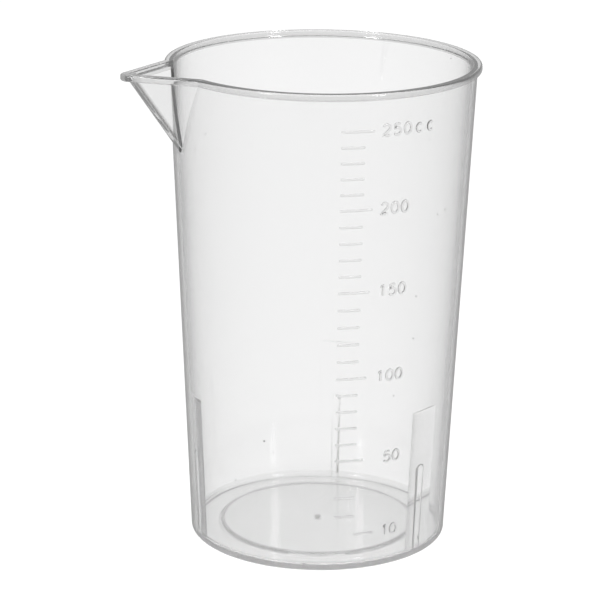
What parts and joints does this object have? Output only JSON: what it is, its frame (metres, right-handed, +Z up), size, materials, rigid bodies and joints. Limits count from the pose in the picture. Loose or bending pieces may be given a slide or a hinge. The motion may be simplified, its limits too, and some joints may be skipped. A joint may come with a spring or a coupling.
{
  "type": "mixing cup",
  "caption": "Tall tapered clear plastic mixing cup with a beaded rim, a pointed pouring lip, inner stacking ribs and a raised volume scale on one side.",
  "frame": {"origin": "on the cup's axis, in the plane of the ring that stands on the table", "axes": "+Z up along the cup's axis, the pouring lip points along -X, the scale faces -Y"},
  "size_m": [0.0785, 0.0674, 0.105],
  "materials": {
    "clear_plastic": "clear polypropylene, glossy, very slightly milky"
  },
  "bodies": {
    "root": {"side_wall": "clear_plastic", "foot_ring": "clear_plastic", "floor_disc": "clear_plastic", "gate_mark": "clear_plastic", "rim_bead": "clear_plastic", "pouring_lip": "clear_plastic", "stacking_pad_1": "clear_plastic", "stacking_pad_2": "clear_plastic", "stacking_pad_3": "clear_plastic", "stacking_rib_1": "clear_plastic", "stacking_rib_2": "clear_plastic", "stacking_rib_3": "clear_plastic", "mark_10": "clear_plastic", "mark_20": "clear_plastic", "mark_30": "clear_plastic", "mark_40": "clear_plastic", "mark_50": "clear_plastic", "mark_60": "clear_plastic", "mark_70": "clear_plastic", "mark_80": "clear_plastic", "mark_90": "clear_plastic", "mark_100": "clear_plastic", "mark_110": "clear_plastic", "mark_120": "clear_plastic", "mark_130": "clear_plastic", "mark_140": "clear_plastic", "mark_150": "clear_plastic", "mark_160": "clear_plastic", "mark_170": "clear_plastic", "mark_180": "clear_plastic", "mark_190": "clear_plastic", "mark_200": "clear_plastic", "mark_210": "clear_plastic", "mark_220": "clear_plastic", "mark_230": "clear_plastic", "mark_240": "clear_plastic", "mark_250": "clear_plastic"}
  },
  "joints": []
}
